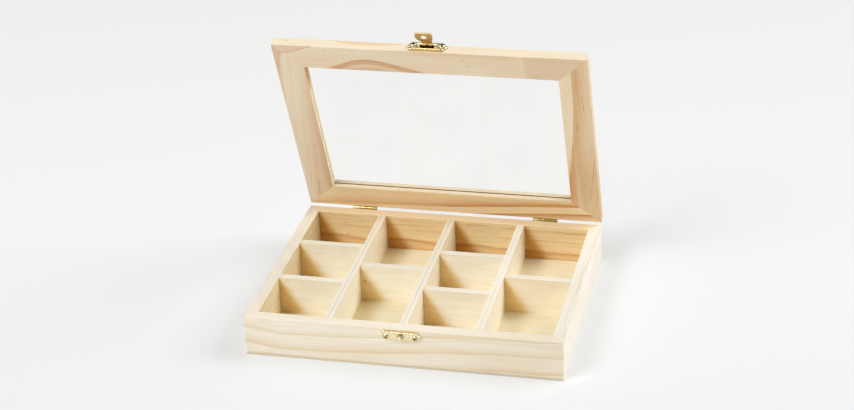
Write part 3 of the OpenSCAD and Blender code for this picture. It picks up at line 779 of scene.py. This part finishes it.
def brass(name, nodes, roughness=0.17, relief_mm=0.12, tone=None, lid=False):
    """Polished brass for the nodes, or rubbed brass where a tone is given."""
    paint = Paint(name, lid)
    point = paint.point
    cloud = point.noise((0.35, 0.35, 0.35), 3.0, 0.6)
    fine = point.noise((6, 6, 6), 2.0, 0.6)
    polished = mix(cloud.step(0.3, 0.7), tint(248, 238, 202), tint(236, 221, 174))
    if tone:
        colour = rubbed(point, fine, tone)
    elif "screws" in nodes[0]:
        colour = painted_recess_shade(polished, *point.parts(), CLASP_SCREW_Z if lid else CATCH_SCREW_Z)
    else:
        colour = barrel_tone_shade_and_reflection(polished, *point.parts(), lid)
    paint.set(Base_Color=colour, Roughness=(cloud - 0.5) * 0.12 + roughness)
    paint.shader.inputs["Metallic"].default_value = 1
    paint.relief(cloud + fine * 0.15, relief_mm)
    paint.give(*nodes)


brass("brass_base", [
    "hinge_left_base_leaf", "hinge_right_base_leaf", "hinge_left_pin", "hinge_right_pin", "hinge_base_screws",
    "catch_plate", "catch_knob",
])
brass("brass_catch_screws", ["catch_screws"])
brass("brass_clasp_screws", ["clasp_screws"], lid=True)
brass("brass_lid", [
    "clasp_plate", "clasp_pin", "hinge_left_lid_leaf", "hinge_right_lid_leaf", "hinge_lid_screws",
], lid=True)
brass("brass_flap", ["hasp_flap"], roughness=0.5, relief_mm=0.22, tone=tint(217, 182, 120))


def glass_paint():
    """Clear glass that lets the lamps' light through, with a few faint smears."""
    paint = Paint("clear_glass", lid=True)
    smear = paint.point.noise((0.01, 0.02, 0.02), 2.0)
    paint.set(Roughness=(smear - 0.5).most(0) * 0.06)
    shader = paint.shader
    shader.inputs["Base Color"].default_value = (0.997, 0.999, 0.997, 1)
    shader.inputs["Transmission Weight"].default_value = 1
    shader.inputs["IOR"].default_value = 1.25
    tree = paint.tree
    clear = tree.nodes.new("ShaderNodeBsdfTransparent")
    clear.inputs["Color"].default_value = (0.94, 0.96, 0.95, 1)
    path = tree.nodes.new("ShaderNodeLightPath")
    both = tree.nodes.new("ShaderNodeMixShader")
    tree.links.new(path.outputs["Is Shadow Ray"], both.inputs[0])
    tree.links.new(shader.outputs[0], both.inputs[1])
    tree.links.new(clear.outputs[0], both.inputs[2])
    tree.links.new(both.outputs[0], tree.nodes["Material Output"].inputs["Surface"])
    paint.give("glass_pane")


glass_paint()

# Softened edges

def soften(width, *names):
    """Rounds the sharp edges of wood and sheet a little, without moving a vertex of the mesh itself."""
    for name in names:
        weld = NODES[name].modifiers.new("weld", "WELD")
        weld.merge_threshold = 0.000002
        bevel = NODES[name].modifiers.new("soften", "BEVEL")
        bevel.width = width / 1000
        bevel.segments = 2
        bevel.limit_method = "ANGLE"
        bevel.angle_limit = math.radians(38)
        bevel.use_clamp_overlap = True
        bevel.harden_normals = False
        shade = NODES[name].modifiers.new("shade", "WEIGHTED_NORMAL")
        shade.keep_sharp = False
        shade.weight = 80


soften(
    0.3,
    "front_wall", "back_wall", "left_wall", "right_wall", "lid_front_rail", "lid_back_rail", "lid_left_stile",
    "lid_right_stile",
)
soften(
    0.2,
    "long_divider_left", "long_divider_middle", "long_divider_right", "cross_divider_1_front",
    "cross_divider_1_rear", "cross_divider_2", "cross_divider_3_front", "cross_divider_3_rear",
    "cross_divider_4", "bottom_panel",
)

# Floor, light and camera

# Half the floor's width in metres, and the share of plain white in what is seen of it directly
FLOOR_HALF_W = 40
PLAIN_SHARE = 0.5


def add_floor():
    far = FLOOR_HALF_W
    mesh = bpy.data.meshes.new("floor")
    mesh.from_pydata([(-far, -far, 0), (far, -far, 0), (far, far, 0), (-far, far, 0)], [], [(0, 1, 2, 3)])
    floor = bpy.data.objects.new("floor", mesh)
    bpy.context.scene.collection.objects.link(floor)
    material = bpy.data.materials.new("floor_paper")
    material.use_nodes = True
    tree = material.node_tree
    shader = tree.nodes["Principled BSDF"]
    shader.inputs["Base Color"].default_value = (0.88, 0.886, 0.89, 1)
    shader.inputs["Roughness"].default_value = 0.9
    shader.inputs["Specular IOR Level"].default_value = 0.1
    # Seen directly, the paper is partly a plain white, so its shadows are as faint as the photograph's
    white = tree.nodes.new("ShaderNodeEmission")
    point = tree.nodes.new("ShaderNodeTexCoord")
    y = Value(tree, point.outputs["Object"]).parts()[1]
    level = line(y, [(-0.7, 0.78), (-0.3, 0.84), (0.1, 0.935), (0.9, 0.865)])
    mix(level, (0, 0, 0), (0.985, 1, 1.005)).feed(white.inputs["Color"])
    both = tree.nodes.new("ShaderNodeMixShader")
    seen = seen_directly(tree, "Is Camera Ray", "Is Glossy Ray", "Is Transmission Ray")
    (seen * PLAIN_SHARE).feed(both.inputs[0])
    tree.links.new(shader.outputs[0], both.inputs[1])
    tree.links.new(white.outputs[0], both.inputs[2])
    tree.links.new(both.outputs[0], tree.nodes["Material Output"].inputs["Surface"])
    mesh.materials.append(material)


def seen_directly(tree, *rays):
    """1 for what these rays see, and 0 where they carry light from a matt surface on."""
    path = tree.nodes.new("ShaderNodeLightPath")
    most = None
    for name in rays:
        value = Value(tree, path.outputs[name])
        most = value if most is None else most.most(value)
    return most * Value(tree, path.outputs["Diffuse Depth"]).step(0.6, 0.4)


def add_soft_light(name, place, size, power, colour):
    """A lamp that faces the part; place and size are in metres, power in watts."""
    lamp = bpy.data.lights.new(name, "AREA")
    lamp.shape = "RECTANGLE"
    lamp.size = size[0]
    lamp.size_y = size[1]
    lamp.energy = power
    lamp.color = colour
    light = bpy.data.objects.new(name, lamp)
    bpy.context.scene.collection.objects.link(light)
    light.location = place
    light.rotation_euler = Vector(place).to_track_quat("Z", "Y").to_euler()
    # The glass lets the lamps' light through to what they shine on, so a refracted ray doesn't add it again
    light.visible_transmission = False


def add_world():
    """Light from all round, most of it from low down. Metal sees a white room with dark parts overhead."""
    world = bpy.data.worlds.new("studio")
    bpy.context.scene.world = world
    world.use_nodes = True
    tree = world.node_tree
    direction = tree.nodes.new("ShaderNodeTexCoord")
    height = Value(tree, direction.outputs["Generated"]).parts()[2]
    strength = height.ramp([(-0.1, 0.54), (0.05, 0.54), (0.35, 0.17), (1, 0.15)])
    falling = mix(strength, (0, 0, 0), (1, 0.71, 0.4))
    mirrored = height.ramp([
        (-0.1, 0.96), (0.3, 0.94), (0.46, 0.12), (0.72, 0.05),
        (0.78, 0.8), (0.86, 0.8), (0.92, 0.08), (1, 0.05),
    ])
    path = tree.nodes.new("ShaderNodeLightPath")
    level = mix(Value(tree, path.outputs["Is Glossy Ray"]), falling, mirrored)
    level = mix(seen_directly(tree, "Is Camera Ray", "Is Transmission Ray"), level, (0.93, 0.93, 0.93))
    level.feed(tree.nodes["Background"].inputs["Color"])


def add_camera():
    """The fitted camera, looking along its azimuth and elevation with a slight roll."""
    camera_data = bpy.data.cameras.new("camera")
    camera = bpy.data.objects.new("camera", camera_data)
    bpy.context.scene.collection.objects.link(camera)
    camera_data.sensor_width = 36
    camera_data.lens = CAMERA_LENS
    camera_data.clip_start = 0.05
    camera_data.clip_end = 100
    flat = math.cos(CAMERA_ELEVATION)
    back = Vector((
        math.sin(CAMERA_AZIMUTH) * flat, -math.cos(CAMERA_AZIMUTH) * flat, math.sin(CAMERA_ELEVATION)
    ))
    side = (-back).cross(Vector((0, 0, 1))).normalized()
    up = side.cross(-back)
    right = side * math.cos(CAMERA_ROLL) + up * math.sin(CAMERA_ROLL)
    top = -side * math.sin(CAMERA_ROLL) + up * math.cos(CAMERA_ROLL)
    turn = Matrix((right, top, back)).transposed().to_4x4()
    camera.matrix_world = Matrix.Translation(CAMERA_PLACE) @ turn
    bpy.context.scene.camera = camera


LAMP_TINT = (0.943, 0.98, 1.02)

add_floor()
add_world()
add_soft_light("light_left_front", (-3.45, -4.35, 5.65), (3.6, 3.6), 450, LAMP_TINT)
add_soft_light("light_right_back", (4.95, 1.75, 4.65), (4.0, 4.0), 354, LAMP_TINT)
add_camera()
bpy.context.scene.view_settings.view_transform = "Standard"
